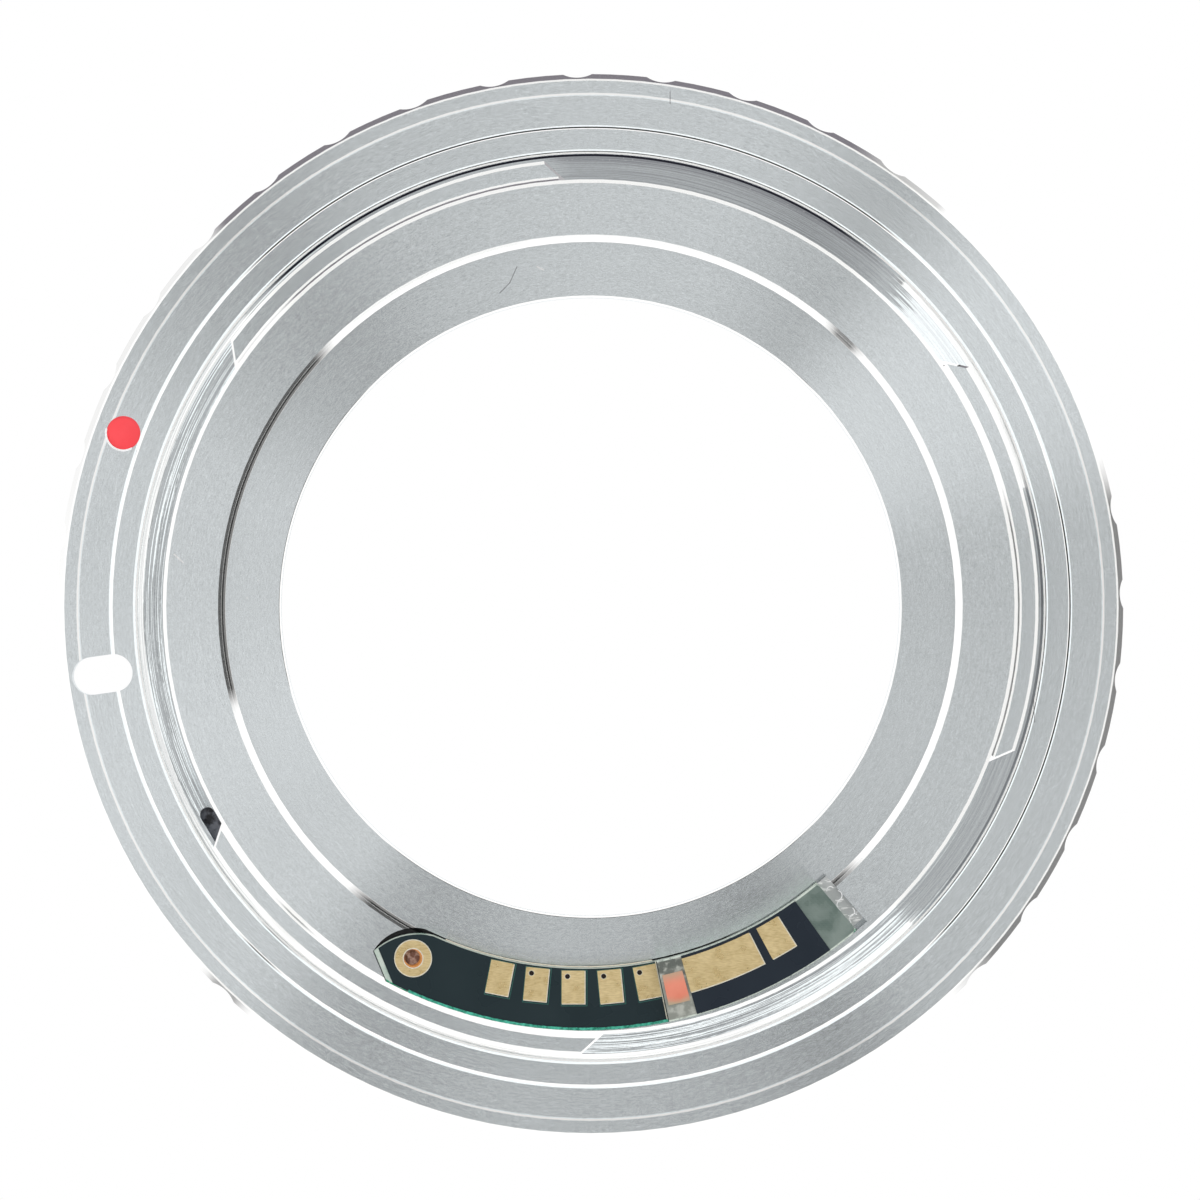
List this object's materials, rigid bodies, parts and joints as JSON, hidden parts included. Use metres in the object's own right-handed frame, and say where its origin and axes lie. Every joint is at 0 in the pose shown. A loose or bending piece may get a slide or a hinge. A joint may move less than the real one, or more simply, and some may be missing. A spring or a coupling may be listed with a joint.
{
  "type": "lens mount adapter",
  "caption": "Flat metal ring that fits a screw thread lens to a bayonet camera body, with outward lugs, a scalloped rim and a curved contact board.",
  "frame": {"origin": "centre of the lens seat face, on the ring's axis, where the ring rests", "axes": "+Z along the ring's axis towards the camera body; +X to the picture's right and +Y to its top, with the contact board towards -Y"},
  "size_m": [0.065, 0.065, 0.0074],
  "materials": {
    "aluminium": "satin turned and milled",
    "index_paint": "gloss enamel",
    "adhesive": "cured adhesive",
    "board_laminate": "glass fibre laminate, cut edges",
    "solder_mask": "dark teal solder mask",
    "gold_plating": "gold plated copper",
    "plug_resin": "brown resin",
    "amber_film": "translucent amber film",
    "moulded_package": "moulded epoxy",
    "solder": "solder",
    "capacitor_ceramic": "fired ceramic"
  },
  "bodies": {
    "root": {"adapter_ring": "aluminium", "index_dot": "index_paint", "board_adhesive": "adhesive", "glue_bead": "adhesive", "contact_board": "board_laminate", "board_mask": "solder_mask", "contact_pad_1": "gold_plating", "contact_pad_2": "gold_plating", "contact_pad_3": "gold_plating", "contact_pad_4": "gold_plating", "contact_pad_5": "gold_plating", "eyelet": "gold_plating", "eyelet_plug": "plug_resin", "raised_board": "board_laminate", "raised_mask": "solder_mask", "wide_contact_pad": "gold_plating", "end_contact_pad": "gold_plating", "amber_patch": "amber_film", "microcontroller": "moulded_package", "microcontroller_solder": "solder", "capacitor": "capacitor_ceramic", "capacitor_ends": "solder"}
  },
  "joints": []
}
